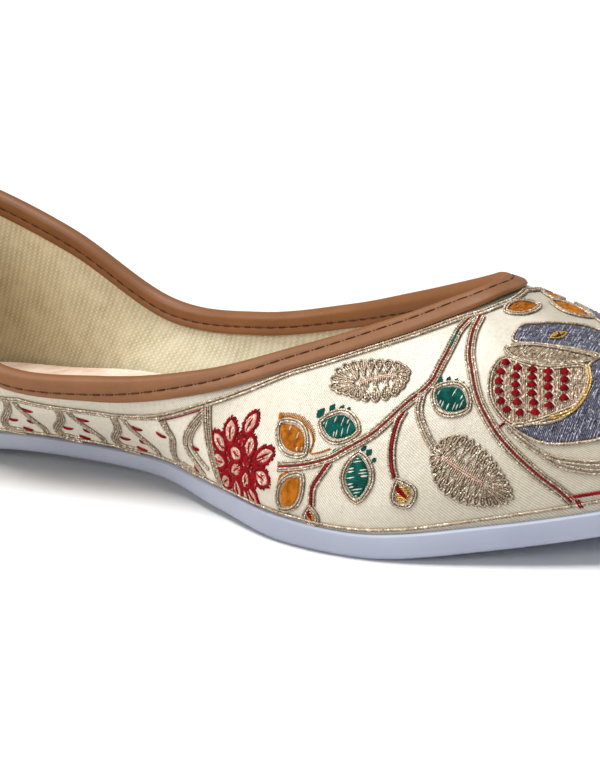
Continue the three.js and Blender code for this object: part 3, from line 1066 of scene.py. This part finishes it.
# Ochre threads about the first two leaves.
ochre = {
    "fringe": [(-4.6, 5.2), (-1.5, 5.0), (1.6, 3.9), (4.4, 1.6), (5.4, -1.0)],
    "line": [
        (-4.4, 4.9), (-1.5, 4.8), (1.5, 3.7), (4.4, 1.4), (5.6, -1.2), (5.2, -3.4), (7.4, -3.4), (10.0, -2.6),
    ],
    "corner": [(-4.9, 5.9), (-2.9, 5.0), (-4.6, 4.0)],
    "crescent": [(-3.7, 0.9), (-3.2, 3.0), (-1.0, 4.2), (0.2, 4.1), (-1.4, 3.2), (-2.8, 1.6)],
}
# The flower beside the panel line. Petals: middle x, y about its heart, the way they point, length and width.
flower = {
    "at": (6.59, 0.281), "heart": 1.6, "rim": 0.95, "cell": 1.06, "groundThreads": 20,
    "ground": [
        (-9.8, 1.2), (-8.6, 3.6), (-6.4, 5.0), (-3.4, 7.2), (-1.2, 6.8), (1.2, 3.6), (4.2, 2.6), (5.2, 0.2),
        (4.4, -2.6), (1.6, -5.4), (-1.8, -5.6), (-5.0, -5.0), (-8.4, -4.2), (-9.6, -1.8),
    ],
    "petals": [
        (-2.1, 8.6, 72, 4.4, 2.4), (-7.2, 6.3, 100, 4.6, 2.6), (-10.2, 3.6, 135, 4.6, 2.5),
        (-10.9, -0.4, 175, 4.8, 2.6), (-9.3, -4.6, 205, 3.6, 2.3), (-4.9, -5.9, 262, 3.9, 2.3),
        (0.9, -6.6, 308, 4.4, 2.3), (4.6, -2.1, 335, 4.2, 2.6), (4.3, 2.5, 25, 4.6, 2.6),
        (-0.6, 3.9, 95, 3.8, 2.4), (-4.7, 1.9, 155, 3.6, 2.6), (-4.5, -1.5, 200, 3.6, 2.2),
        (-1.0, -3.4, 262, 3.4, 2.1),
    ],
}
buds = [
    {"at": (7.38, 0.045), "size": (3.6, 3.2), "tilt": 100},
    {"at": (8.31, 0.183), "size": (5.4, 4.6), "tilt": 108},
]


def sewBranch(side):
    main, sweep = curveThrough(branch["main"]), curveThrough(branch["sweep"])
    for line in (main, sweep):
        ropesAlong("zariStems", line, branch["cordOffsets"], side, 0.245)
        ropesAlong("DarkRed", line, single, side, 0.18, lift=0.2)
    ropesAlong("Teal", curveThrough(branch["mainTeal"]), single, side, 0.33, lift=0.26)
    for twig in branch["twigs"]:
        line = curveThrough(twig)
        ropesAlong("zariStems", line, branch["twigOffsets"], side, 0.30)
        ropesAlong("DarkRed", line, single, side, 0.30, lift=0.22)
    ropesAlong("zariStems", curveThrough(branch["plainTwig"]), (-0.75, -0.25, 0.55), side, 0.29)
    for leaf in leaves:
        contour = leafShape(*leaf["size"], leaf["tilt"])
        satinFill(
            leaf["silk"], leaf["at"], contour, leaf["threads"], side, pitch=0.31, width=0.2, height=0.2, arch=0.25)
        satinFill(
            "Cream", leaf["at"], grown(contour, -0.25), leaf["threads"], side, pitch=0.62, longest=3.4,
            gaps=leaf["slit"], width=0.17, height=0.15, arch=0.36)
        outlined("zariStems", leaf["at"], contour, side, 0.75, (-0.29, 0.29), 0.28)
    for at, places in tufts:
        for x, y, length, width, tilt in places:
            tuft = leafShape(length, width, tilt, (x, y))
            satinFill("Teal", at, tuft, tilt, side, pitch=0.26, width=0.17, height=0.2, arch=0.2)
    # ochre fringe along the first leaf's outer edge, and a crescent in the second one's outline
    first, second = leaves[0]["at"], leaves[1]["at"]
    edge = curveThrough(ochre["fringe"])
    fringe("Ochre", first, edge[::-1], 0.75, side, pitch=0.42, width=0.12, arch=0.08)
    ropesAlong("Ochre", spots(first, curveThrough(ochre["line"])), single, side, 0.17)
    satinFill("Ochre", first, ochre["corner"], 60, side, pitch=0.26)
    satinFill("Ochre", second, curveThrough(ochre["crescent"], True, 4), 45, side, pitch=0.28)
    for bud in buds:
        contour = dropShape(*bud["size"], bud["tilt"] + 180, turned([(bud["size"][0] * 0.5, 0)], bud["tilt"])[0])
        outlined("zariStems", bud["at"], contour, side, 0.2, (-0.28, 0.28), 0.26)
        satinFill("gold", bud["at"], grown(contour, -0.5), bud["tilt"] + 60, side, pitch=0.34, width=0.16)
        satinFill(
            "Crimson", bud["at"], leafShape(bud["size"][0] * 0.78, 1.2, bud["tilt"] + 18, (-0.35, 0.3)),
            bud["tilt"] - 35, side, pitch=0.3, width=0.19, arch=0.35)
    sewFlower(side)


def sewFlower(side):
    at = flower["at"]
    # a crimson ground, so that no satin shows between the petals
    satinFill(
        "Crimson", at, curveThrough(flower["ground"], True, 4), flower["groundThreads"], side,
        longest=2.6, ragged=0.4, width=0.2, height=0.12, arch=0.02)
    for x, y, points, length, width in flower["petals"]:
        inner = leafShape(length * flower["cell"], width * flower["cell"], points, (x, y), 0.7)
        # zari drop with a thin red stroke, then the crimson rim worked outwards from it
        satinFill(
            "Blush", at, inner, points, side, pitch=0.3, longest=2.6, gaps=0.1, width=0.18, height=0.17, arch=0.12)
        stroke = turned([(-length * 0.46, 0), (length * 0.3, 0.05)], points, (x, y))
        sewn("Crimson", at, stroke[:1], stroke[1:], side, width=0.21, height=0.24, arch=0.34)
        fringe(
            "Crimson", at, np.vstack([inner, inner[:2]])[::-1], flower["rim"], side, pitch=0.24, ragged=0.3,
            start=-0.05, width=0.19, height=0.22, arch=0.22)
    turn = np.linspace(0, 2 * np.pi, 25)
    ring = np.stack([np.cos(turn), np.sin(turn)], -1)
    fringe("Crimson", at, ring[::-1] * 0.45, flower["heart"] - 0.4, side, pitch=0.11, width=0.2, height=0.25, arch=0.35)
    satinFill("Blush", at, ring[:-1] * 0.42, 40, side, pitch=0.24, width=0.14, arch=0.45)


# Paisleys: narrow zari loops set side by side round a heart line.
paisleys = [
    {
        "at": (8.0, 0.675), "loops": 22, "width": 1.75, "pile": 1.2, "core": (-0.24, 0.24),
        "heart": [(-4.4, 0.2), (-1.5, 0.6), (1.4, 0.5), (3.9, 0.2)],
        "outline": [
            (-11.5, 2.4), (-10.3, 5.1), (-8, 6), (-4.5, 5.9), (-1, 5.2), (3.5, 3.6), (6.6, 1.0), (5.9, -2.2),
            (3.5, -4.4), (0.2, -5.1), (-4.3, -3.7), (-7.8, -1.4), (-10.9, 0.6),
        ],
    },
    {
        "at": (8.81, 0.265), "loops": 30, "width": 1.3, "pile": 2.0, "core": (0.0,),
        "heart": [(-2.8, 2.2), (-1.4, 0.6), (0.6, -1.2), (2.8, -3.0), (4.4, -4.2)],
        "outline": [
            (-5.2, 2.9), (-2, 5.8), (2.1, 5.6), (4.9, 3.2), (7.6, -0.8), (10, -7.2), (8, -8.9), (5, -9),
            (1.1, -8.1), (-2.6, -6.1), (-4.9, -3.2), (-5.2, -0.2),
        ],
    },
]


def sewPaisley(paisley, side):
    outline = curveThrough(paisley["outline"], True, 12)
    closedLine = np.vstack([outline, outline[:1]])
    run = runAlong(closedLine)
    heart = curveThrough(paisley["heart"], False, 12)
    for at in (np.arange(paisley["loops"]) + 0.5) / paisley["loops"] * run[-1]:
        tip = pointsAt(at, run, closedLine)
        base = heart[np.argmin(np.linalg.norm(heart - tip, axis=1))]
        base = base + (tip - base) * 0.2
        reach = tip - base
        angle = math.degrees(math.atan2(reach[1], reach[0]))
        loop = dropShape(np.linalg.norm(reach), paisley["width"], angle, base, 2.3)
        ropesAlong("Bronze", spots(paisley["at"], loop), single, side, 0.27, True)
        middle = base + np.outer((0.12, 0.3, 0.55, 0.85), reach)
        ropesAlong("Bronze", spots(paisley["at"], middle), paisley["core"], side, 0.24, lift=0.16)
        sewn("Blush", paisley["at"], [base - reach * 0.05], [base + reach * 0.3], side, width=0.14, arch=0.3)
    for line in (heart, heart[::-1]):
        fringe(
            "zariMotifs", paisley["at"], line, paisley["pile"], side, pitch=0.42, ragged=0.5, start=-0.3,
            width=0.17, arch=0.3)
    ropesAlong("Blush", spots(paisley["at"], heart), (-0.2, 0.2), side, 0.16)


# The bird on the vamp: a plain rounded folk form, places as (rib, share).
bird = {
    "at": (10.55, 0.56),
    "body": [
        (10.32, 0.74), (10.64, 0.77), (10.9, 0.765), (11.45, 0.745), (11.8, 0.70), (11.82, 0.64), (11.76, 0.57),
        (11.6, 0.50), (11.35, 0.43), (11.0, 0.365), (10.6, 0.32), (10.13, 0.29), (9.93, 0.288), (9.72, 0.295),
        (9.55, 0.32), (9.42, 0.385), (9.62, 0.372), (9.79, 0.372), (9.98, 0.39), (10.25, 0.44), (10.57, 0.50),
        (10.85, 0.56), (11.21, 0.585), (11.12, 0.62), (10.74, 0.67), (10.22, 0.71),
    ],
    "wing": [
        (9.93, 0.69), (10.23, 0.692), (10.48, 0.68), (10.89, 0.63), (11.08, 0.585), (10.63, 0.58), (10.3, 0.59),
        (10.06, 0.62), (9.92, 0.65),
    ],
    "breast": [
        (9.82, 0.65), (9.61, 0.63), (9.41, 0.57), (9.32, 0.50), (9.34, 0.44), (9.42, 0.39), (9.64, 0.39),
        (9.94, 0.41), (10.19, 0.43), (10.48, 0.49), (10.75, 0.56), (10.26, 0.58), (10.03, 0.61),
    ],
    "goldEdge": [(10.85, 0.56), (10.62, 0.50), (10.27, 0.43), (10.0, 0.39), (9.78, 0.38)],
    "eye": (11.01, 0.70),
    "dotsAt": (9.82, 0.508),
    "dots": [
        [(-4.5, 7.0), (-5.7, 5.2), (-6.3, 3.2), (-6.5, 1.1), (-6.3, -1.1), (-5.4, -3.1)],
        [(-2.3, 5.4), (-2.9, 3.7), (-3.1, 1.8), (-3.3, 0.0), (-3.2, -1.9), (-2.9, -4.2)],
        [(0.6, 4.5), (0.3, 2.9), (0.1, 1.2), (-0.1, -0.6), (0.0, -2.6), (0.0, -4.6)],
        [(3.6, 3.6), (3.4, 2.0), (3.2, 0.2), (3.1, -1.7), (2.9, -3.7)],
        [(6.7, 3.0), (6.5, 1.3), (6.2, -0.5), (5.9, -2.6)],
    ],
    "tails": [
        [(9.35, 0.385), (9.42, 0.33), (9.57, 0.25), (9.77, 0.21), (9.96, 0.19), (10.25, 0.18), (10.6, 0.19)],
        [(9.53, 0.26), (9.64, 0.205), (9.83, 0.165), (10.05, 0.15), (10.35, 0.155), (10.6, 0.18)],
    ],
    "beak": [(9.31, 0.435), (9.36, 0.405), (9.28, 0.39)],
}
vampPetals = [
    {"at": (11.15, 0.855), "size": (6.6, 3.4), "tilt": 2, "both": True},
    {"at": (12.2, 0.794), "size": (8.2, 4.4), "tilt": 90, "both": False},
]


def sewBird(side):
    at = bird["at"]
    body, wing, breast = (curveThrough(shapeOf(at, bird[key]), True, 4) for key in ("body", "wing", "breast"))
    # body, wing and breast, each a ground of long threads with brighter short ones over it
    for silk, contour, angle, pitch, longest, slit, gaps, width, height, arch in (
        ("Grey", body, 54, 0.34, 3.6, 0, 0, 0.21, 0.2, 0.14),
        ("Silver", body, 54, 0.58, 2.4, 0.12, 0.45, 0.12, 0.14, 0.32),
        ("Bronze", wing, 38, 0.34, 3.0, 0, 0, 0.2, 0.18, 0.12),
        ("zariMotifs", wing, 38, 0.9, 2.4, 0, 0.4, 0.14, 0.14, 0.3),
        ("Bronze", breast, 78, 0.36, 2.2, 0, 0, 0.2, 0.16, 0.12),
        ("Blush", breast, 78, 0.72, 1.6, 0, 0.4, 0.16, 0.14, 0.26),
    ):
        satinFill(
            silk, at, contour, angle, side, pitch=pitch, longest=longest, slit=slit, gaps=gaps,
            width=width, height=height, arch=arch)
    outlined("zariMotifs", at, body, side, 0.3, single, 0.32)
    outlined("zariMotifs", at, wing, side, 0.0, (-0.2, 0.2), 0.24, 0.4)
    outlined("zariMotifs", at, breast, side, 0.1, (-0.28, 0.28), 0.26, 0.3)
    ropesAlong("gold", curveThrough(bird["goldEdge"]), (-0.9, -0.4), side, 0.24, lift=0.35)
    for line in bird["tails"]:
        ropesAlong("zariMotifs", curveThrough(line), (-0.36, 0.36), side, 0.28)
    ropesAlong("Crimson", curveThrough(bird["beak"], spans=2), single, side, 0.26)
    for column in bird["dots"]:
        for x, y in column:
            satinFill(
                "Crimson", bird["dotsAt"], leafShape(1.9, 1.25, -8, (x, y), 0.6), -6, side, pitch=0.27, width=0.19,
                height=0.24, arch=0.4, lift=0.2)
            sewn(
                "Cream", bird["dotsAt"], [(x + 0.55, y + 0.8)], [(x + 1.3, y - 0.5)], side, width=0.14, height=0.16,
                arch=0.42)
    eye = leafShape(3.6, 1.5, 8, (0, 0), 0.7)
    satinFill("gold", bird["eye"], eye[:17], 80, side, pitch=0.3, width=0.15, height=0.2, arch=0.3, lift=0.2)
    outlined("gold", bird["eye"], eye, side, 0.0, single, 0.17, 0.5)
    satinFill("Brown", bird["eye"], leafShape(0.9, 0.9, 0, (0, -0.1), 0.5), 0, side, pitch=0.25, arch=0.45, lift=0.3)


def sewVampPetal(petal, side):
    contour = leafShape(*petal["size"], petal["tilt"])
    satinFill(
        "Ochre", petal["at"], contour, petal["tilt"] + 8, side, pitch=0.31, longest=4.5, width=0.2, height=0.2,
        arch=0.2)
    outlined("zariMotifs", petal["at"], contour, side, 0.6, (-0.28, 0.28), 0.27)


# The waist band's slanted leaves, repeated from the panel line back to the heel.
bandLeaf = {
    "pitch": 15.8, "first": -13.8, "leftOffsets": (-0.8, -0.27, 0.27, 0.8), "rightOffsets": (-0.54, 0, 0.54),
    "left": [(0.3, 12.9), (-0.9, 10.6), (-3.2, 7.6), (-6.6, 4.4), (-7.4, 2.6), (-6.0, 1.1), (-1.6, 0.7)],
    "right": [(3.1, 12.6), (2.7, 10.4), (2.9, 7.6), (3.6, 4.8), (4.6, 2.4), (4.1, 0.8)],
    "firstLeft": [(0.0, 13.4), (0.0, 11.4), (0.2, 9.0), (-2.6, 5.6), (-4.2, 3.0), (-4.0, 1.6), (3.4, 0.8)],
    "dashes": [(-3.6, 4.4, -4), (2.2, 4.7, -8), (-0.8, 1.5, -14), (4.9, 10.0, -16)],
}
panelLine = {
    "offsets": (-0.95, -0.35, 0.35, 0.95),
    "chevron": [(-0.9, 17.0), (-4.5, 14.0), (-8.1, 10.4), (-9.7, 7.2), (-8.3, 4.0), (-6.2, 1.2)],
    "chevronInside": [(-2.4, 14.6), (-5.9, 11.0), (-7.2, 8.4), (-5.8, 5.6), (-3.4, 3.6)],
    "dashes": [(-6.4, 8.0, -10), (-8.9, 2.0, -20), (-17.4, 9.2, -20)],
    "red": {"from": 5.5, "to": 6.03, "below": 0.95, "radius": 0.16},
}


# Rib numbers some millimetres back from the panel line, measured along the band's middle.
bandTurns = np.linspace(panelRib, -0.5, 400)
bandPoints = wallPoint(bandTurns, heightFor(bandTurns, 6.0))
bandRun = runAlong(bandPoints)


def bandPlaces(points):
    points = np.asarray(points, float)
    around = np.interp(-points[:, 0], bandRun, bandTurns)
    return np.stack([around, heightFor(around, points[:, 1])], -1)


def sewDashes(dashes, side):
    for x, y, tilt in dashes:
        a, b = turned([(-1.5, 0), (1.5, 0)], tilt, (x, y))
        places = bandPlaces([a + (0.2, 0.26), a, a - (0, 0.22), b + (0, 0.22), b, b - (0.4, 0.26)])
        sewnAt("Crimson", places[:3], places[3:], side, width=0.17, height=0.2, arch=0.28)


def sewBand(side):
    room = bandRun[np.argmin(np.abs(bandTurns))]
    count = int(room / bandLeaf["pitch"])
    for unitIndex in range(count):
        shift = bandLeaf["first"] - unitIndex * bandLeaf["pitch"]
        for key in ("left", "right") if unitIndex else ("firstLeft",):
            offsets = bandLeaf["rightOffsets" if key == "right" else "leftOffsets"]
            line = curveThrough(bandLeaf[key]) + (shift, 0)
            line = line[line[:, 0] > -room + 1.2]
            if len(line) > 4:
                ropesAlong("zariBand", bandPlaces(line), offsets, side, 0.26)
        if unitIndex:
            sewDashes([(x + shift, y, tilt) for x, y, tilt in bandLeaf["dashes"] if x + shift > 2 - room], side)
    sewDashes(panelLine["dashes"], side)
    # the panel line bows a little towards the heel, with its chevron beside it
    turnsUp = np.linspace(0.02, 1, 30)
    at = np.array([panelRib])
    top = heightFor(at, borderDrop(at), True)[0]
    line = np.stack([panelRib - 0.02 * np.sin(turnsUp * 3), turnsUp * top], -1)
    ropesAlong("zariBand", line, panelLine["offsets"], side, 0.27)
    for key, offsets, radius in (("chevron", (-0.54, 0, 0.54), 0.27), ("chevronInside", (-0.27, 0.27), 0.26)):
        ropesAlong("zariBand", bandPlaces(curveThrough(panelLine[key])), offsets, side, radius)
    # a thin red line just under the border, next to the panel line
    red = panelLine["red"]
    turnsRed = np.linspace(red["from"], red["to"], 20)
    heights = heightFor(turnsRed, borderDrop(turnsRed) + red["below"], True)
    ropesAlong("Crimson", np.stack([turnsRed, heights], -1), single, side, red["radius"])


# Fine coloured lines: teal and gold beside the binding, and red round the toe with two short dashes.
turnsTeal = np.linspace(10.1, 11.5, 40)
turnsGold = np.arange(8.0, 9.5, 0.031)
lineDrops = {"teal": 0.75, "gold": (-0.1, 0.75), "goldSlant": 0.012}
toeLine = {"from": 9.62, "above": 3.3, "radius": 0.36, "dashTops": ((9.67, 9.69), 2.6), "dashEnds": ((9.70, 9.72), 0.7)}


# Places some millimetres below the binding's outer edge.
def belowBinding(turns, drop):
    return np.stack([turns, belowCollar(turns, bindingDrop(turns, 1) + drop)], -1)


def sewLines(side):
    ropesAlong("Teal", belowBinding(turnsTeal, lineDrops["teal"]), single, side, 0.15)
    near, far = lineDrops["gold"]
    ends = belowBinding(turnsGold + lineDrops["goldSlant"], far)
    sewnAt("gold", belowBinding(turnsGold, near), ends, side, width=0.13, height=0.12, arch=0.3)
    dash = [(np.array(turns), above) for turns, above in (toeLine["dashTops"], toeLine["dashEnds"])]
    dash = [np.stack([turns, heightFor(turns, above)], -1) for turns, above in dash]
    sewnAt("Crimson", *dash, side, width=0.2, height=0.2, arch=0.45)


toeTurns = np.linspace(toeLine["from"], ribCount - toeLine["from"], 160)
toePlaces = np.stack([toeTurns, heightFor(toeTurns, toeLine["above"])], -1)
ropesAlong("Crimson", toePlaces, single, 0, toeLine["radius"])
for side in (0, 1):
    sewLines(side)
    sewBranch(side)
    for paisley in paisleys:
        sewPaisley(paisley, side)
    sewBird(side)
    sewBand(side)
for petal in vampPetals:
    for side in ((0, 1) if petal["both"] else (0,)):
        sewVampPetal(petal, side)

for name, pile in piles.items():
    if name == "Brown":
        pieceFromPile("bindingStitches", pile, finishes[name], "binding")
    else:
        title = name if name.startswith("zari") else "thread" + name[0].upper() + name[1:]
        pieceFromPile(title, pile, finishes[name], "upper")

# Floor, light and camera.
floorSettings = {"size": 12, "color": (0.99, 0.99, 0.99), "roughness": 0.9}
startFresh()
bpy.ops.mesh.primitive_plane_add(size=floorSettings["size"])
floor = bpy.context.object
floor.name = "floor"
floorLook = Finish("floor", floorSettings["color"], floorSettings["roughness"], Specular_IOR_Level=0.1)
floor.data.materials.append(floorLook.material)

# The sheen light shines on the shoe only, so that it doesn't wash out the shadow.
floorLeftOut = bpy.data.collections.new("floorLeftOut")
floorLeftOut.objects.link(floor)
floorLeftOut.collection_objects[0].light_linking.link_state = "EXCLUDE"
lights = [
    # name, place, aimed at, size across, power in watts
    ("sheenLight", (-0.68, -0.66, 0.82), (0.0, -0.01, 0.03), 0.45, 7.5),
    ("frontLight", (-0.3, -1.3, 0.5), (0.0, -0.01, 0.03), 0.6, 6.0),
    ("backLight", (0.3, 1.3, 0.9), (0, 0, 0.03), 1.0, 5),
]
sunSettings = {"place": (0, 0, 1.5), "direction": (0.16, 0.02, -1), "strength": 2.72, "angle": 36}
worldSettings = {"color": (1, 1, 1, 1), "strength": 0.2}


def addLight(kind, name, place, direction, power):
    bpy.ops.object.light_add(type=kind, location=place)
    lamp = bpy.context.object
    lamp.name = name
    lamp.data.energy = power
    lamp.rotation_euler = direction.to_track_quat("-Z", "Y").to_euler()
    return lamp


for name, place, aim, size, power in lights:
    lamp = addLight("AREA", name, place, Vector(aim) - Vector(place), power)
    lamp.data.size = size
    if name == "sheenLight":
        lamp.light_linking.receiver_collection = floorLeftOut
sun = addLight("SUN", "topLight", sunSettings["place"], Vector(sunSettings["direction"]), sunSettings["strength"])
sun.data.angle = math.radians(sunSettings["angle"])

world = bpy.data.worlds.new("studio")
bpy.context.scene.world = world
world.use_nodes = True
background = world.node_tree.nodes["Background"]
background.inputs["Color"].default_value = worldSettings["color"]
background.inputs["Strength"].default_value = worldSettings["strength"]

cameraSettings = {
    "azimuth": 36.8, "elevation": 16.05, "roll": -4.0, "distance": 0.46, "target": (0.0161, 0.0021, 0.0207),
    "lens": 95.8, "sensor": 36, "nearest": 0.02,
}
bpy.ops.object.camera_add()
camera = bpy.context.object
camera.data.lens = cameraSettings["lens"]
camera.data.sensor_width = cameraSettings["sensor"]
camera.data.clip_start = cameraSettings["nearest"]
azimuth, elevation, roll = (math.radians(cameraSettings[key]) for key in ("azimuth", "elevation", "roll"))
back = Vector((math.sin(azimuth) * math.cos(elevation), -math.cos(azimuth) * math.cos(elevation), math.sin(elevation)))
right = Vector((math.cos(azimuth), math.sin(azimuth), 0))
above = back.cross(right)
turnedRight = right * math.cos(roll) + above * math.sin(roll)
turnedUp = above * math.cos(roll) - right * math.sin(roll)
seat = Vector(cameraSettings["target"]) + back * cameraSettings["distance"]
camera.matrix_world = Matrix((
    (turnedRight.x, turnedUp.x, back.x, seat.x),
    (turnedRight.y, turnedUp.y, back.y, seat.y),
    (turnedRight.z, turnedUp.z, back.z, seat.z),
    (0, 0, 0, 1),
))
bpy.context.scene.camera = camera
bpy.context.scene.view_settings.view_transform = "Standard"
print("floor, light and camera made")
